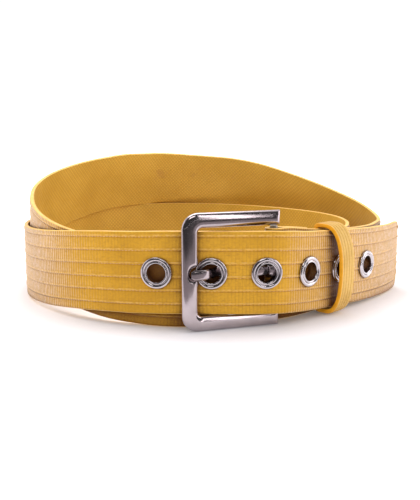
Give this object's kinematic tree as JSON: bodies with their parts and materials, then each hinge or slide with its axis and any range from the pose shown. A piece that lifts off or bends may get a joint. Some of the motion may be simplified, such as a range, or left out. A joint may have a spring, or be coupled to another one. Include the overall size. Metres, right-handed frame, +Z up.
{
  "type": "weight belt",
  "caption": "Ribbed rubber strap belt coiled on its edge, closed by a prong buckle through a row of steel eyelets, with a sliding keeper loop.",
  "frame": {"origin": "on the ground under the middle of the whole belt", "axes": "+Z up, +X to the right along the buckle side, +Y from the buckle to the back of the ring"},
  "size_m": [0.224, 0.2114, 0.0786],
  "materials": {
    "strap_webbing": "golden yellow, ribbed along its length, matt",
    "keeper_webbing": "golden yellow, ribbed, matt, with a smooth cut edge",
    "buckle_steel": "satin to polished",
    "eyelet_steel": "bright",
    "rivet_steel": "satin"
  },
  "bodies": {
    "strap_body": {"strap": "strap_webbing", "eyelet_1": "eyelet_steel", "eyelet_2": "eyelet_steel", "eyelet_3": "eyelet_steel", "eyelet_4": "eyelet_steel", "eyelet_5": "eyelet_steel", "eyelet_6": "eyelet_steel", "eyelet_washer_1": "eyelet_steel", "eyelet_washer_2": "eyelet_steel", "eyelet_washer_3": "eyelet_steel", "eyelet_washer_4": "eyelet_steel", "eyelet_washer_5": "eyelet_steel", "eyelet_washer_6": "eyelet_steel", "rivet_post_1": "rivet_steel", "rivet_post_2": "rivet_steel", "rivet_cap_1": "rivet_steel", "rivet_cap_2": "rivet_steel"},
    "frame_body": {"buckle_frame": "buckle_steel", "crossbar": "buckle_steel"},
    "prong_body": {"prong": "buckle_steel"},
    "keeper_body": {"keeper": "keeper_webbing"}
  },
  "joints": [
    {"name": "frame_swing", "type": "hinge", "parent": "strap_body", "child": "frame_body", "pos_m": [0.02955, -0.08888, 0.0276], "axis": [0, 0, 1], "range_deg": [0, 78]},
    {"name": "prong_play", "type": "hinge", "parent": "strap_body", "child": "prong_body", "pos_m": [0.02955, -0.08888, 0.0276], "axis": [0, 0, 1], "range_deg": [-0.45, 0.6]},
    {"name": "keeper_slide", "type": "slide", "parent": "strap_body", "child": "keeper_body", "axis": [0.6896, 0.7242, 0], "range_m": [-0.005, 0.008]}
  ]
}
